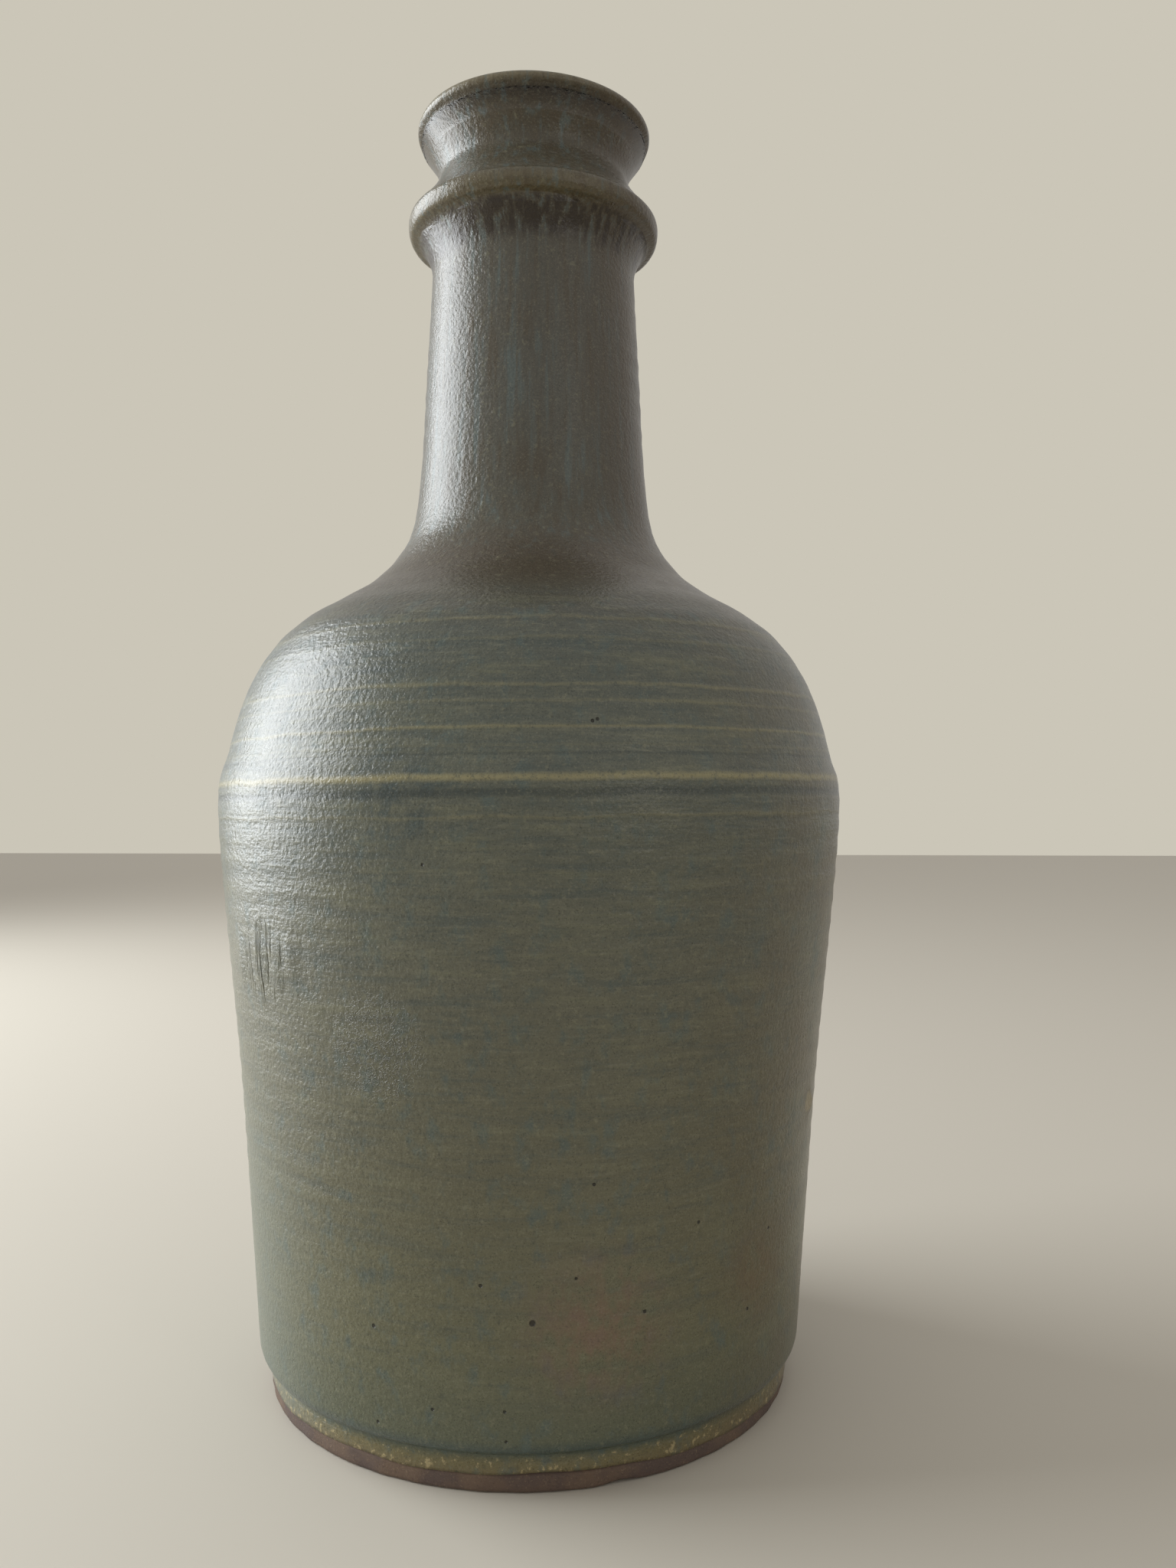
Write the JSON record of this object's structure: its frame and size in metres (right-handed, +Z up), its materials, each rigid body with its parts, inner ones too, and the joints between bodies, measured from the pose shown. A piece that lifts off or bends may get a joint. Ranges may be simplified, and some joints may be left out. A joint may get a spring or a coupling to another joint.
{
  "type": "bottle vase",
  "caption": "Free-standing glazed stoneware bottle vase: wide drum body, sloping shoulder, slim neck with a raised collar and a small flared mouth.",
  "frame": {"origin": "on the surface the vase stands on, under the middle of the foot", "axes": "+Z up along the axis the vase was turned on; X and Y are level"},
  "size_m": [0.1482, 0.1482, 0.2996],
  "materials": {
    "bare_clay": "matt fired stoneware body, dark purple-brown",
    "glaze": "satin mottled grey-green and blue glaze with fine speckle"
  },
  "bodies": {
    "root": {"foot_ring": "bare_clay", "floor_slab": "bare_clay", "lower_wall": "bare_clay", "shoulder": "bare_clay", "neck": "bare_clay", "collar_ring": "bare_clay", "mouth": "bare_clay", "glaze_coat": "glaze"}
  },
  "joints": []
}
